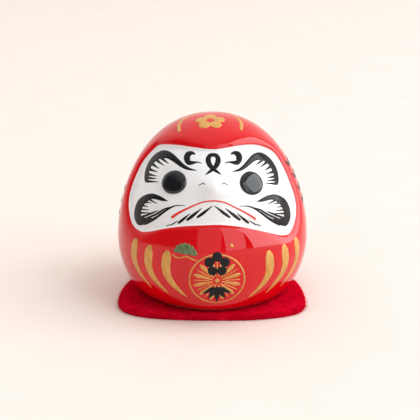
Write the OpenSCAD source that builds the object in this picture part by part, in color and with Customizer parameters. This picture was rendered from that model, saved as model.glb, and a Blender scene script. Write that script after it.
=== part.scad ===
// Daruma doll: a hollow slip-cast ceramic doll, glazed red with a white face panel and
// fired-on enamel brushwork, standing on a loose felt mat.
// Millimetres. +Z is up, the face looks along -Y, and the origin is under the middle of
// the mat. The brushwork is drawn on a doll 70 wide and 65 high, and grows with it.

/* [Doll] */
// Widest diameter of the doll
doll_w = 70; // [50:1:100]
// Height of the doll above its foot
doll_h = 65; // [46:1:92]
// Diameter of the flat foot
foot_d = 50; // [36:1:56]
// Thickness of the cast clay wall
wall = 4; // [3.6:0.1:5]
// Thickness of the red and the white glaze
glaze_t = 0.3; // [0.2:0.05:0.5]
// Diameter of the casting vent in the foot
vent_d = 9; // [5:1:14]

/* [Face] */
// Depth of the white face panel below the red glaze
face_depth = 2.2; // [1:0.1:2.6]
// Diameter of the raised left eye
left_eye_d = 9.7; // [7:0.1:10]
// Diameter of the raised right eye
right_eye_d = 9; // [7:0.1:10]
// Height of each eye above the face panel
eye_rise = 1; // [0.5:0.1:1.5]
// Angle of each eye round the doll from the front
eye_angle = 31; // [26:0.5:34]
// Radius of the ball that the nose is part of
nose_r = 8; // [6:0.5:10]
// Height of the nose above the face panel
nose_rise = 2; // [0.6:0.1:2.2]

/* [Brushwork] */
// Thickness of the enamel lines
enamel_t = 0.2; // [0.1:0.05:0.3]
// Angle round the doll by which the face is painted off its middle
face_turn = 0.8; // [-2:0.1:2]
// Angle round the doll by which the robe's folds are painted off its middle
robe_turn = 3.9; // [-5:0.1:5]
// Angle of the gold roundel round the doll from the front
roundel_angle = 2.8; // [-5:0.1:5]
// Outer diameter of the gold roundel
roundel_d = 19.5; // [16:0.5:21]
// Number of petals in the gold roundel, with a thin ray between each two
roundel_petals = 12; // [8:1:16]

/* [Felt mat] */
// Width of the mat, side to side
mat_w = 68; // [56:1:90]
// Depth of the mat, front to back
mat_d = 58; // [52:1:90]
// How far along Y the mat is widest: it is squarish in front of there and oval behind
mat_wide_y = -14; // [-18:1:0]
// Thickness of the felt
mat_t = 3; // [2:0.5:5]

/* [Hidden] */

$fn = 96;
// How much larger the brushwork is than on the 70 by 65 doll
across = doll_w / 70;
up = doll_h / 65;
doll_r = doll_w / 2;
foot_r = foot_d / 2;
// Height of the widest point
waist_z = 0.3 * doll_h;
// Steps along each of the two curves of the profile
STEPS = 12;
// Steps between two neighbouring points of a brush stroke
BRUSH_STEPS = 3;
// Points round the blunt end of a stroke; a stroke that ends narrower than POINTED_W has none
CAP_STEPS = 3;
POINTED_W = 0.32;
// Distance from the axis at which the flat prisms of brushwork start, and their length
prism_start = 2;
prism_end = doll_r + 5;
// Superellipse power of the mat's squarish front and oval back, and the points of its outline
front_power = 2.6;
back_power = 2;
mat_points = 72;

RED = [0.80, 0.07, 0.08];
WHITE = [0.93, 0.93, 0.94];
BLACK = [0.08, 0.08, 0.09];
GOLD = [0.82, 0.58, 0.24];
GREEN = [0.33, 0.47, 0.30];
FELT = [0.76, 0.02, 0.10];
CLAY = [0.88, 0.85, 0.80];

// ---- Profile of the doll: two Bezier curves that meet upright at the waist ----
LOWER = [[foot_r, 0], [foot_r + 0.16 * doll_r, 0], [doll_r, 0.57 * waist_z], [doll_r, waist_z]];
UPPER = [[doll_r, waist_z], [doll_r, 0.56 * doll_h], [0.73 * doll_r, doll_h], [0, doll_h]];

function bezier(p, t) = (1 - t) ^ 3 * p[0] + 3 * (1 - t) ^ 2 * t * p[1]
    + 3 * (1 - t) * t ^ 2 * p[2] + t ^ 3 * p[3];
function bezier_slope(p, t) = 3 * ((1 - t) ^ 2 * (p[1] - p[0])
    + 2 * (1 - t) * t * (p[2] - p[1]) + t ^ 2 * (p[3] - p[2]));
function outward(slope) = [slope[1], -slope[0]] / norm(slope);

// Point of the profile at parameter t from 0, the foot, to 2, the crown, moved outward by grow
function profile_point(t, grow) = let (
    curve = t <= 1 ? LOWER : UPPER,
    s = t <= 1 ? t : t - 1
) bezier(curve, s) + grow * outward(bezier_slope(curve, s));

function profile(grow, first = 0, last = 2 * STEPS) =
    [for (i = [first:last]) profile_point(i / STEPS, grow)];
function backwards(list) = [for (i = [len(list) - 1:-1:0]) list[i]];

// The doll's solid form, grown outward by grow, on a flat foot
module form(grow) {
    outline = profile(grow, 1);
    rotate_extrude() polygon(concat([[0, 0], [foot_r, 0]], outline));
}

// A coat that lies from inner to outer, measured outward from the red glaze's surface
module coat(inner, outer, first, last) {
    rotate_extrude()
        polygon(concat(profile(outer, first, last), backwards(profile(inner, first, last))));
}

module on_mat() {
    translate([0, 0, mat_t]) children();
}

// A flat drawing pushed through the doll from the front, turned round it by angle
module prism(angle = 0) {
    rotate([90, 0, angle])
        translate([0, 0, prism_start])
            linear_extrude(prism_end - prism_start) children();
}

// ---- Brush strokes ----
// Each point of a stroke is [across, up, width]
function blend_4(a, b, c, d, t) = 0.5 * (2 * b + (c - a) * t
    + (2 * a - 5 * b + 4 * c - d) * t ^ 2 + (3 * b - a - 3 * c + d) * t ^ 3);
function smooth(p, steps = BRUSH_STEPS) = let (last = len(p) - 1) concat(
    [for (i = [0:last - 1], j = [0:steps - 1])
        blend_4(p[max(i - 1, 0)], p[i], p[i + 1], p[min(i + 2, last)], j / steps)],
    [p[last]]
);
function place(p) = [p[0] * across, p[1] * up];
function heading(s, i) = let (
    along = place(s[min(i + 1, len(s) - 1)]) - place(s[max(i - 1, 0)])
) along / norm(along);
// Half the stroke's width at point i, sideways
function sideways(s, i) = s[i][2] / 2 * across * outward(heading(s, i));
// Points round the blunt end at point i: way is 1 at the stroke's last point and -1 at its first
function cap(s, i, way) = s[i][2] < POINTED_W ? [] : [
    for (k = [1:CAP_STEPS]) let (turn = 180 * k / (CAP_STEPS + 1))
        place(s[i]) + way * (sideways(s, i) * cos(turn) + s[i][2] / 2 * across * heading(s, i) * sin(turn))
];

module stroke(points, steps = BRUSH_STEPS) {
    s = smooth(points, steps);
    last = len(s) - 1;
    polygon(concat(
        [for (i = [0:last]) place(s[i]) + sideways(s, i)],
        cap(s, last, 1),
        [for (i = [last:-1:0]) place(s[i]) - sideways(s, i)],
        cap(s, 0, -1)
    ));
}

// Stroke points, stretched across and lifted, as the hand varies them from side to side
function freehand(line, vary) = [
    for (p = line) len(p) > 2 ? [p[0] * vary[0], p[1] + vary[1], p[2]] : [p[0] * vary[0], p[1] + vary[1]]
];

// A straight tapered stroke from its root to its tip
module hair(root, tip, root_w, tip_w) {
    stroke([[root[0], root[1], root_w], [tip[0], tip[1], tip_w]], 1);
}

// Draws its children as they are on the doll's left side, or mirrored on its right side
module flip(side) {
    if (side < 0) mirror([1, 0]) children();
    else children();
}

// ---- Coats that the brushwork is painted in ----
// Enamel on the white face panel and the nose
module on_face(angle = 0, tint = BLACK) {
    color(tint) on_mat() intersection() {
        prism(angle) children();
        difference() {
            face_form(enamel_t);
            face_form(0);
        }
    }
}

// Enamel on the lower half of the red glaze
module on_robe(angle, tint) {
    color(tint) on_mat() intersection() {
        prism(angle) children();
        coat(0, enamel_t, 2, STEPS + 4);
    }
}

// Enamel on the upper half of the red glaze
module on_side(angle) {
    color(BLACK) on_mat() intersection() {
        prism(angle) children();
        coat(0, enamel_t, STEPS, 2 * STEPS - 3);
    }
}

// Enamel on the crown, drawn as seen from above
module on_crown() {
    color(GOLD) on_mat() intersection() {
        translate([0, 0, doll_h / 2]) linear_extrude(doll_h) children();
        coat(0, enamel_t, 2 * STEPS - 7, 2 * STEPS);
    }
}

// ---- Body ----
FACE_OUTLINE = [
    [0.6, 56.9], [-6, 57.1], [-12.4, 56.9], [-18.1, 55.5], [-21.3, 52.8], [-24.5, 48.8],
    [-26.8, 44.5], [-28.7, 39.8], [-29.7, 35.4], [-29.5, 31.8], [-28.1, 28.7], [-25.4, 27.8],
    [-22, 28.8], [-16.5, 31.1], [-9.6, 32.9], [-1.8, 33.7], [4.5, 33.6], [11.4, 32.2], [18.3, 29.7],
    [24.7, 26.6], [27.5, 26.4], [29.4, 29.4], [29.8, 33.5], [29, 37.6], [27, 43], [24.5, 48.3],
    [21.5, 52.5], [17.8, 55.2], [14, 56.7], [8.7, 57.3]
];

module face_window() {
    prism() polygon([for (p = FACE_OUTLINE) place(p)]);
}

// Where the nose's ball has its middle: its height is a step along the upper curve
nose_at = profile_point(1.46, -face_depth + nose_rise - nose_r);

// The surface of the face panel with the nose on it, grown outward by grow
module face_form(grow) {
    form(grow - face_depth);
    rotate([0, 0, face_turn]) translate([0, -nose_at[0], nose_at[1]]) sphere(nose_r + grow);
}

function rounded(v, power) = sign(v) * abs(v) ^ (2 / power);
function mat_edge(a) = let (
    in_front = sin(a) < 0,
    power = in_front ? front_power : back_power,
    depth = in_front ? mat_d / 2 + mat_wide_y : mat_d / 2 - mat_wide_y
) [mat_w / 2 * rounded(cos(a), power), mat_wide_y + depth * rounded(sin(a), power)];

module felt_mat() {
    color(FELT) linear_extrude(mat_t)
        polygon([for (i = [0:mat_points - 1]) mat_edge(360 * i / mat_points)]);
}

module clay_body() {
    cavity = profile(-glaze_t - wall);
    color(CLAY) on_mat() difference() {
        form(-glaze_t);
        rotate_extrude() polygon(concat([[0, cavity[0][1]]], cavity));
        translate([0, 0, -1]) cylinder(d = vent_d, h = wall + 3);
        intersection() {
            face_window();
            difference() {
                form(2);
                face_form(-glaze_t);
            }
        }
    }
}

module red_glaze() {
    color(RED) on_mat() difference() {
        coat(-glaze_t, 0, 1, 2 * STEPS);
        face_window();
    }
}

module white_face() {
    color(WHITE) on_mat() intersection() {
        face_window();
        difference() {
            face_form(0);
            face_form(-glaze_t);
        }
    }
}

// ---- Eyes ----
// Height of the eyes' middles, as a step along the upper curve
eye_at = 1.478;

// A domed disc of black glaze on the face panel
module eye(side, eye_d) {
    ball_r = ((eye_d / 2) ^ 2 + eye_rise ^ 2) / (2 * eye_rise);
    base = profile_point(eye_at, -face_depth);
    lean = outward(bezier_slope(UPPER, eye_at - 1));
    tilt = atan2(lean[0], lean[1]);
    color(BLACK) on_mat() difference() {
        rotate([0, 0, side * eye_angle])
            translate([0, -base[0], base[1]])
                rotate([tilt, 0, 0])
                    intersection() {
                        translate([0, 0, eye_rise - ball_r]) sphere(ball_r);
                        translate([0, 0, -eye_rise]) cylinder(d = eye_d, h = 3 * eye_rise);
                    }
        form(-face_depth);
    }
}
module left_eye() { eye(-1, left_eye_d); }
module right_eye() { eye(1, right_eye_d); }

// ---- Brows ----
brow_angle = 38;
// How each side's brow is stretched across and lifted
LEFT_BROW = [1.07, 0.1];
RIGHT_BROW = [0.91, -0.3];
BROW = [
    [9.5, 44.6, 2.4], [10.2, 45.6, 2.75], [10.8, 47.2, 3.05], [10.6, 49.1, 3.2], [9.4, 51.1, 2.9],
    [6.9, 52.8, 2.6], [3.8, 53.4, 2.1], [1, 53.05, 1.75], [-1.5, 52.25, 1.45], [-4, 51.3, 1.15],
    [-6.5, 50.6, 0.75], [-9.1, 50.35, 0.15]
];
// Root and tip of each hair on the brow's inner edge, and a hair's width at its root and tip
BROW_HAIRS = [
    [[9, 43.9], [3, 45.1]], [[9.2, 45], [4.2, 45.8]], [[9.4, 46.1], [4.5, 46.6]],
    [[9.4, 47.6], [4.9, 47.9]], [[9, 49.4], [4.7, 48.95]], [[7.9, 51], [3.1, 50.25]],
    [[6, 52.1], [1.5, 51.15]]
];
BROW_HAIR_W = [1, 0.15];

// A broad stroke with hairs drawn out of it
module tuft(line, hairs, hair_w, vary) {
    stroke(freehand(line, vary));
    for (h = hairs) {
        ends = freehand(h, vary);
        hair(ends[0], ends[1], hair_w[0], hair_w[1]);
    }
}

module brow(side, vary) {
    on_face(side * brow_angle) flip(side) tuft(BROW, BROW_HAIRS, BROW_HAIR_W, vary);
}
module left_brow() { brow(-1, LEFT_BROW); }
module right_brow() { brow(1, RIGHT_BROW); }

// ---- Forehead ----
CURL = [
    [6.4, 55.15, 0.6], [7.4, 55.3, 1], [8.6, 54.7, 1.8], [9, 53.6, 2.3], [8.5, 52.6, 1.6],
    [7.1, 52.6, 1], [5.7, 52.85, 0.45], [4.7, 52.8, 0.3], [4, 52.55, 0.15]
];
// One half of the crossed loop, from the top of the loop to the foot of the other side
LOOP = [
    [0, 55.1, 1], [1.1, 54.8, 1.3], [1.7, 53.7, 1.85], [1.3, 52.4, 1.7], [0.3, 51.3, 1.3],
    [-0.8, 50.5, 1], [-1.7, 49.9, 0.7], [-2.7, 49.25, 0.2]
];

module curl(side) {
    on_face(face_turn) flip(side) stroke(CURL);
}
module left_forehead_curl() { curl(-1); }
module right_forehead_curl() { curl(1); }

module forehead_loop() {
    on_face(face_turn) for (side = [-1, 1]) flip(side) stroke(LOOP);
}

// ---- Nose and mouth ----
NOSTRIL = [[2.7, 46.1, 0.2], [3.4, 46.6, 0.3], [4.2, 46.3, 0.28], [5.1, 45.9, 0.15]];
MOUTH = [
    [-13.6, 35.1, 0.85], [-12, 36.4, 0.8], [-10, 37.7, 0.7], [-8, 38.8, 0.6], [-6, 39.8, 0.5],
    [-4, 40.6, 0.45], [-2, 41.1, 0.45], [0, 41.25, 0.45], [2, 41.15, 0.45], [4, 40.75, 0.45],
    [6, 39.9, 0.5], [8, 38.8, 0.5], [10, 37.7, 0.55], [12, 36.4, 0.6], [13.5, 35.3, 0.65],
    [14.6, 34.4, 0.7]
];

module nostril_marks() {
    on_face(face_turn) for (side = [-1, 1]) flip(side) stroke(NOSTRIL);
}

module mouth_line() {
    on_face(0, RED) stroke(MOUTH);
}

// ---- Cheek whiskers ----
whisker_angle = 38;
LEFT_WHISKER = [1, 0.2];
RIGHT_WHISKER = [1, 0];
WHISKER = [
    [-3.2, 39.8, 0.15], [-1, 40, 1.1], [1.5, 40.2, 1.5], [4, 40.05, 1.8], [6.2, 39.2, 2.4],
    [8.2, 37.9, 3], [9.9, 36.2, 3.8], [10.8, 34.2, 4.4], [10.6, 32.2, 4.9], [9.2, 30.9, 4],
    [7, 31, 2.8], [5, 31.6, 1.9], [3, 32.6, 1.1]
];
WHISKER_HAIRS = [
    [[4.8, 38.7], [1, 38.3]], [[8, 37.2], [3.8, 37.9]], [[8.6, 35.9], [5, 36.4]],
    [[8.9, 34.6], [4.2, 35.4]], [[8.6, 33.4], [3.3, 34.7]]
];
WHISKER_HAIR_W = [0.7, 0.2];
// Long fine hairs that leave the whisker's foot towards the mouth
WHISKER_TAILS = [
    [[7.5, 32.3, 0.9], [4, 34, 0.75], [1.5, 35.3, 0.55], [-0.4, 36.2, 0.2]],
    [[6.5, 31.4, 1.1], [3, 33.4, 0.8], [0, 35.1, 0.75], [-2.4, 36.9, 0.6], [-4.6, 38.1, 0.2]],
    [[5.5, 30.6, 1.4], [2.5, 32.3, 1.2], [0, 33.9, 0.9], [-2.5, 36, 0.75], [-5, 38, 0.6],
     [-7, 38.9, 0.35], [-9.7, 39.2, 0.15]]
];

module cheek_whisker(side, vary) {
    on_face(side * whisker_angle) flip(side) {
        tuft(WHISKER, WHISKER_HAIRS, WHISKER_HAIR_W, vary);
        for (tail = WHISKER_TAILS) stroke(freehand(tail, vary));
    }
}
module left_cheek_whisker() { cheek_whisker(-1, LEFT_WHISKER); }
module right_cheek_whisker() { cheek_whisker(1, RIGHT_WHISKER); }

// ---- Beard ----
// Top and foot of each stroke below the mouth, and its width near the foot
BEARD = [
    [[0.3, 39.75], [5.4, 36], 0.95], [[4, 38.9], [8.9, 34.9], 1], [[8.1, 36.9], [11.9, 33.5], 0.85],
    [[12.1, 34.2], [14.6, 32.4], 0.4], [[14.6, 32.6], [16.2, 31.8], 0.34]
];

module beard(side) {
    on_face(face_turn) flip(side)
        for (b = BEARD) stroke([[b[0][0], b[0][1], 0.2],
            [0.4 * b[0][0] + 0.6 * b[1][0], 0.4 * b[0][1] + 0.6 * b[1][1], b[2]],
            [b[1][0], b[1][1], 0.8 * b[2]]]);
}
module left_beard_strokes() { beard(-1); }
module right_beard_strokes() { beard(1); }

// ---- Gold folds of the robe ----
// Each fold's angle round the doll, from the outer one inwards, its width and its top
FOLD_ANGLES = [56, 43.5, 31];
FOLD_WIDTHS = [3.4, 3.7, 3.6];
FOLD_TOPS = [24.9, 24.3, 23.9];
// How much higher the folds are on the left side, and lower on the right side
fold_lift = 0.45;
// Across, down from the top, and part of the full width
FOLD = [
    [-0.35, -1.1, 0.64], [-0.2, -2.2, 0.93], [0.05, -4.5, 1], [0.1, -7, 0.95], [-0.3, -9.2, 0.86],
    [-1.4, -11.5, 0.7], [-3, -13.6, 0.52], [-4.8, -15.6, 0.32], [-6.4, -17.3, 0.08]
];

module robe_fold(side, i) {
    top = FOLD_TOPS[i] - side * fold_lift;
    on_robe(robe_turn + side * FOLD_ANGLES[i], GOLD) flip(side)
        stroke([for (p = FOLD) [p[0], p[1] + top, p[2] * FOLD_WIDTHS[i]]]);
}
module left_robe_fold_1() { robe_fold(-1, 0); }
module left_robe_fold_2() { robe_fold(-1, 1); }
module left_robe_fold_3() { robe_fold(-1, 2); }
module right_robe_fold_1() { robe_fold(1, 0); }
module right_robe_fold_2() { robe_fold(1, 1); }
module right_robe_fold_3() { robe_fold(1, 2); }

// ---- Gold roundel with black plum blossom and bamboo over it ----
roundel_z = 14.6;
roundel_r = roundel_d / 2;
ring_w = 0.5;
PETAL = [[0, 0.18, 0.25], [0, 0.45, 0.6], [0, 0.7, 1], [0, 0.82, 0.5]];
petal_w = 1.5;
ray_w = 0.35;

module at_roundel(dz = 0) {
    translate([0, (roundel_z + dz) * up]) children();
}

module blossom(size) {
    for (i = [0:4]) rotate(72 * i) translate([0, 0.6 * size]) circle(0.38 * size);
}

// One bamboo leaf, from its stalk at the origin to its point
module leaf(length, width) {
    stroke([[0, 0, 0.15 * width], [0, 0.35 * length, width], [0, 0.7 * length, 0.7 * width],
        [0, length, 0.1]]);
}

blossom_dz = 6;
blossom_size = 4.6;
leaves_dz = -2.6;
leaf_w = 1.9;
LEAF_ANGLES = [-118, -150, 180, 150, 118];
LEAF_LENGTHS = [6.2, 6, 6.6, 6, 6.2];

module blossom_ink() {
    at_roundel(blossom_dz) blossom(blossom_size * across);
}

module leaves_ink() {
    at_roundel(leaves_dz) for (i = [0:len(LEAF_ANGLES) - 1])
        rotate(LEAF_ANGLES[i]) leaf(LEAF_LENGTHS[i], leaf_w);
}

module roundel_ring() {
    on_robe(roundel_angle, GOLD) difference() {
        at_roundel() difference() {
            circle(roundel_r * across);
            circle((roundel_r - ring_w) * across);
        }
        blossom_ink();
        leaves_ink();
    }
}

module roundel_petals_gold() {
    step = 360 / roundel_petals;
    on_robe(roundel_angle, GOLD) difference() {
        at_roundel() for (i = [0:roundel_petals - 1]) {
            rotate(step * (i + 0.5))
                stroke([for (p = PETAL) [0, p[1] * roundel_r, p[2] * petal_w]], 2);
            rotate(step * i)
                hair([0, 0.3 * roundel_r], [0, 0.8 * roundel_r], ray_w, ray_w);
        }
        blossom_ink();
        leaves_ink();
    }
}

module roundel_centre() {
    on_robe(roundel_angle, GOLD) at_roundel() rotate(45) square(1.5 * across, center = true);
}

module plum_blossom() {
    on_robe(roundel_angle, BLACK) blossom_ink();
}

module bamboo_leaves() {
    on_robe(roundel_angle, BLACK) leaves_ink();
}

// ---- Pine sprig ----
pine_angle = -15;
// Foot and tips of the needle tufts
PINE_FOOT = [-0.2, 24];
NEEDLES = [
    [-3.9, 24.8], [-3.2, 26], [-2, 26.8], [-0.6, 27.1], [0.8, 26.9], [2, 26.2], [2.9, 25.2], [3.3, 24.2]
];
TWIG = [[-5.2, 23.4, 0.3], [-4, 22.6, 0.6], [-2.4, 22.3, 0.4], [-0.9, 22.8, 0.5], [0.7, 23, 0.4],
    [2.2, 22.3, 0.5], [3.9, 21.9, 0.25]];

module pine_needles() {
    on_robe(pine_angle, GREEN) for (tip = NEEDLES) {
        halfway = (PINE_FOOT + tip) / 2;
        stroke([[PINE_FOOT[0], PINE_FOOT[1], 0.5], [halfway[0], halfway[1], 0.85],
            [tip[0], tip[1], 1.35]], 2);
    }
}

module pine_twig() {
    on_robe(pine_angle, GOLD) stroke(TWIG);
}

module gold_fleck() {
    on_robe(roundel_angle, GOLD) stroke([[4.6, 27.7, 0.3], [5, 27.1, 1], [5.6, 26.4, 0.3]], 2);
}

// ---- Gold on the crown ----
crown_middle = [-0.8, -6.8];
crown_arc_r = 11.2;
crown_blossom_size = 5.5;
// Angles on the crown ring that the right arc spans, and the width at its ends and middle
CROWN_ARC = [[-14, 1], [10, 1.3], [35, 0.8], [58, 0.5], [78, 0.25]];

module crown_arc(side) {
    on_crown() translate(crown_middle * across) flip(side)
        stroke([for (p = CROWN_ARC) [crown_arc_r * cos(p[0]), crown_arc_r * sin(p[0]) * across / up,
            p[1]]]);
}
module left_crown_arc() { crown_arc(-1); }
module right_crown_arc() { crown_arc(1); }

module crown_blossom() {
    on_crown() translate(crown_middle * across) blossom(crown_blossom_size * across);
}

// ---- Leaves down each side ----
left_side_angle = -91;
right_side_angle = 84;
// Height of each pair of leaves, their length and width, and how far each leans from upright
LEFT_LEAVES = [27, 31.5, 36];
RIGHT_LEAVES = [33, 37.5, 42, 46.5];
side_leaf_length = 4.2;
side_leaf_w = 1.5;
side_lean = 50;

module side_leaves(angle, heights) {
    on_side(angle) for (z = heights, lean = [-side_lean, side_lean])
        translate([0, z * up]) rotate(lean) leaf(side_leaf_length, side_leaf_w);
}
module left_side_leaves() { side_leaves(left_side_angle, LEFT_LEAVES); }
module right_side_leaves() { side_leaves(right_side_angle, RIGHT_LEAVES); }

felt_mat();
clay_body();
red_glaze();
white_face();
left_eye();
right_eye();
left_brow();
right_brow();
left_forehead_curl();
right_forehead_curl();
forehead_loop();
nostril_marks();
mouth_line();
left_cheek_whisker();
right_cheek_whisker();
left_beard_strokes();
right_beard_strokes();
left_robe_fold_1();
left_robe_fold_2();
left_robe_fold_3();
right_robe_fold_1();
right_robe_fold_2();
right_robe_fold_3();
roundel_ring();
roundel_petals_gold();
roundel_centre();
pine_needles();
pine_twig();
gold_fleck();
plum_blossom();
bamboo_leaves();
left_crown_arc();
right_crown_arc();
crown_blossom();
left_side_leaves();
right_side_leaves();
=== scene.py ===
"""The shown daruma doll and felt mat: fine meshes, materials, light and camera round the CAD frame.

Lengths are in millimetres up to the moment that a mesh is made. The doll's surface is a turned
profile with relief on it, and every piece of glaze and enamel is a patch of that one surface.
Left and right are the viewer's: left is -X.
"""

import math

import bpy
import numpy as np
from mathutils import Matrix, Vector
from mathutils.geometry import delaunay_2d_cdt


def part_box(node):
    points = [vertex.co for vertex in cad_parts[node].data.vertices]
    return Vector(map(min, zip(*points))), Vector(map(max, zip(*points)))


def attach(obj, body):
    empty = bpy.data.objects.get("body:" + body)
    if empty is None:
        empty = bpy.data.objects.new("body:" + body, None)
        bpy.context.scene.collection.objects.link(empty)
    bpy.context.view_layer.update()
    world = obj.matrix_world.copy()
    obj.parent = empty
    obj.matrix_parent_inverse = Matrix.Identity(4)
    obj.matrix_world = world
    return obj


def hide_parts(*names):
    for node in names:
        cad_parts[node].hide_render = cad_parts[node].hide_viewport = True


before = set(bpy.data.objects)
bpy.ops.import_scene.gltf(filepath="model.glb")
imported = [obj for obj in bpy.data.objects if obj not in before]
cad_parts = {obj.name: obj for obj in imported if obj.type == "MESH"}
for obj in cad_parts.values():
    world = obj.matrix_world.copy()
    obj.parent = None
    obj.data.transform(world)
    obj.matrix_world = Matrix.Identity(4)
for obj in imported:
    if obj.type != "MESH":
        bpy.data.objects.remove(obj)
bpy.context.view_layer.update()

MM = 0.001


def node_box(node):
    """Lowest and highest corner of a CAD node, in millimetres."""
    return [np.array(corner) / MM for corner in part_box(node)]


MAT_LOW, MAT_HIGH = node_box("felt_mat")
GLAZE_LOW, GLAZE_HIGH = node_box("red_glaze")
MAT_T = MAT_HIGH[2] - MAT_LOW[2]
DOLL_R = (GLAZE_HIGH[0] - GLAZE_LOW[0]) / 2
DOLL_H = GLAZE_HIGH[2] - MAT_T
FOOT_R = 25.0
WAIST_Z = 0.3 * DOLL_H
GLAZE_T = 0.3
FACE_DEPTH = 2.2


# ---- The doll's surface ----

LOWER = [(FOOT_R, 0), (FOOT_R + 0.16 * DOLL_R, 0), (DOLL_R, 0.57 * WAIST_Z), (DOLL_R, WAIST_Z)]
UPPER = [(DOLL_R, WAIST_Z), (DOLL_R, 0.56 * DOLL_H), (0.73 * DOLL_R, DOLL_H), (0, DOLL_H)]
TABLE_STEPS = 1500


def bezier(points, t):
    """Points of a cubic Bezier curve at t, from 0 to 1."""
    p = np.array(points, float)
    t = t[:, None]
    return (1 - t) ** 3 * p[0] + 3 * (1 - t) ** 2 * t * p[1] + 3 * (1 - t) * t**2 * p[2] + t**3 * p[3]


def turned_profile():
    """Radius, height, outward normal and length along the profile, from the foot to the crown."""
    t = np.linspace(0, 1, TABLE_STEPS)
    line = np.vstack([bezier(LOWER, t), bezier(UPPER, t)[1:]])
    step = np.gradient(line, axis=0)
    normal = np.stack([step[:, 1], -step[:, 0]], 1)
    normal /= np.linalg.norm(normal, axis=1)[:, None]
    length = np.concatenate([[0], np.cumsum(np.linalg.norm(np.diff(line, axis=0), axis=1))])
    return line[:, 0], line[:, 1], normal, length


PROFILE_R, PROFILE_Z, PROFILE_N, PROFILE_S = turned_profile()
CROWN_S = PROFILE_S[-1]
# A flat map of the surface: across is the angle round the axis times this radius, and up is the
# length along the profile.
MAP_R = 30.0


def along_profile(s, values):
    """A value of the profile at lengths s along it."""
    return np.interp(s, PROFILE_S, values)


def from_front(u, z, inset=0.0, angle=0.0):
    """Map position of a point drawn at (u, z) on a flat sheet held in front of the doll at angle."""
    r = PROFILE_R - inset * PROFILE_N[:, 0]
    height = PROFILE_Z - inset * PROFILE_N[:, 1]
    s = np.interp(z, height, PROFILE_S)
    radius = np.interp(s, PROFILE_S, r)
    turn = np.arcsin(np.clip(np.asarray(u) / radius, -1, 1)) + math.radians(angle)
    return np.stack([turn * MAP_R, s], 1)


def from_above(x, y):
    """Map position of a point drawn at (x, y) on a flat sheet held over the crown."""
    r = np.hypot(x, y)
    upper = PROFILE_S >= PROFILE_S[TABLE_STEPS - 1]
    s = np.interp(r, PROFILE_R[upper][::-1], PROFILE_S[upper][::-1])
    return np.stack([np.arctan2(x, -y) * MAP_R, s], 1)


# Points measured at one time, to save memory
BATCH = 4000


def signed_distance(points, outline):
    """Distance of each point to a closed outline, positive inside it."""
    a = np.asarray(outline)
    b = np.roll(a, -1, axis=0)
    edge = b - a
    long2 = (edge**2).sum(1)
    result = np.empty(len(points))
    for start in range(0, len(points), BATCH):
        p = points[start : start + BATCH, None]
        h = np.clip(((p - a) * edge).sum(2) / long2, 0, 1)
        near = np.linalg.norm(p - a - h[..., None] * edge, axis=2).min(1)
        crosses = (a[:, 1] > p[..., 1]) != (b[:, 1] > p[..., 1])
        rise = np.where(edge[:, 1] == 0, 1, edge[:, 1])
        side = p[..., 0] < edge[:, 0] * (p[..., 1] - a[:, 1]) / rise + a[:, 0]
        inside = (crosses & side).sum(1) % 2 == 1
        result[start : start + BATCH] = np.where(inside, near, -near)
    return result


def smooth_curve(points, steps, closed=False):
    """Points of a curve through the given ones, as a brush would draw it."""
    p = np.array(points, float)
    n = len(p)
    last = n if closed else n - 1
    out = []
    for i in range(last):
        if closed:
            a, b, c, d = (p[(i + k) % n] for k in (-1, 0, 1, 2))
        else:
            a, b, c, d = p[max(i - 1, 0)], p[i], p[i + 1], p[min(i + 2, n - 1)]
        for t in np.arange(steps) / steps:
            out.append(0.5 * (2 * b + (c - a) * t + (2 * a - 5 * b + 4 * c - d) * t**2
                              + (3 * b - a - 3 * c + d) * t**3))
    if not closed:
        out.append(p[-1])
    return np.array(out)


# Outline of the white face panel as seen from the front, across and up from the foot
FACE_OUTLINE = [
    (0.6, 56.9), (-6, 57.1), (-12.4, 56.9), (-18.1, 55.5), (-21.3, 52.8), (-24.5, 48.8),
    (-26.8, 44.5), (-28.7, 39.8), (-29.7, 35.4), (-29.5, 31.8), (-28.1, 28.7), (-25.4, 27.8),
    (-22, 28.8), (-16.5, 31.1), (-9.6, 32.9), (-1.8, 33.7), (4.5, 33.6), (11.4, 32.2), (18.3, 29.7),
    (24.7, 26.6), (27.5, 26.4), (29.4, 29.4), (29.8, 33.5), (29, 37.6), (27, 43), (24.5, 48.3),
    (21.5, 52.5), (17.8, 55.2), (14, 56.7), (8.7, 57.3),
]
# The red rim rolls over into the panel, on an arc whose width changes round the face: it is
# broad at the collar, under the face, and narrow beside the cheeks
ROLL_TURNS = (0, 25, 50, 64, 80, 115, 145, 165, 180)
ROLL_WIDTHS = (17.0, 15.0, 8.5, 5.0, 3.4, 3.2, 4.6, 7.0, 8.0)
# Part of the arc's radius that the roll crosses before the white glaze begins, and the width of
# the fillet at its foot
ROLL_X = 0.94
FILLET_W = 1.2
ROLL_STEEPNESS = ROLL_X / math.sqrt(1 - ROLL_X**2)
ROLL_DROP = 1 - math.sqrt(1 - ROLL_X**2)
# Depth at which the panel's outline is laid on the form
EDGE_DEPTH = 1.5
FACE_MIDDLE_Z = 43.0
FACE_STEPS = 8


def map_point(u, z, inset, angle=0.0):
    """Map position of one point drawn at (u, z)."""
    return from_front(np.array([u]), np.array([z]), inset, angle)[0]


FACE_EDGE = from_front(*smooth_curve(FACE_OUTLINE, FACE_STEPS, closed=True).T, EDGE_DEPTH)
FACE_MIDDLE = map_point(0.0, FACE_MIDDLE_Z, EDGE_DEPTH)

# Soft forms of the face: place seen from the front, half width and half height, and rise
NOSE = ((0.8, 45.0), (5.0, 4.3), 2.0)
CHEEKS = [((-17.0, 37.0), (7.0, 5.5), 0.6), ((17.0, 37.0), (7.0, 5.5), 0.6)]
# They fade in over this distance from the edge of the white glaze
SOFT_FROM_EDGE = 4


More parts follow.
